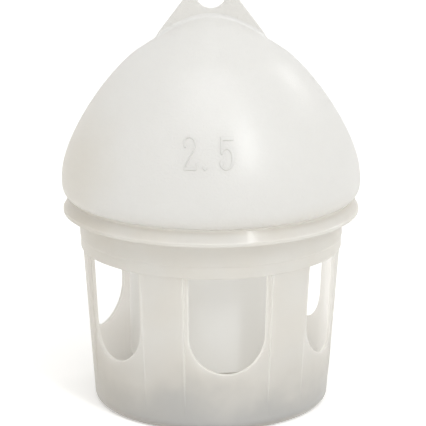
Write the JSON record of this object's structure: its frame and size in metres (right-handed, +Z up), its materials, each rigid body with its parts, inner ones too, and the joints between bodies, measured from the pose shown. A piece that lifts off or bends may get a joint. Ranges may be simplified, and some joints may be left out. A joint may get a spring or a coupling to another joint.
{
  "type": "pigeon drinker",
  "caption": "Gravity-fed drinker: a domed water tank with a hanging lug stands neck down in a round tub with arched drinking windows.",
  "frame": {"origin": "centre of the foot, on the surface that the tub stands on", "axes": "+Z up along the tub's and tank's common axis, -Y towards the front, X along the hanging lug's plate"},
  "size_m": [0.184, 0.184, 0.2704],
  "materials": {
    "tub_plastic": "natural translucent moulded plastic, half gloss",
    "tank_plastic": "milky white blown plastic, satin"
  },
  "bodies": {
    "tub": {"tub": "tub_plastic"},
    "tank": {"tank": "tank_plastic"}
  },
  "joints": [
    {"name": "tank_lift", "type": "slide", "parent": "tub", "child": "tank", "axis": [0, 0, 1], "range_m": [0, 0.115]}
  ]
}
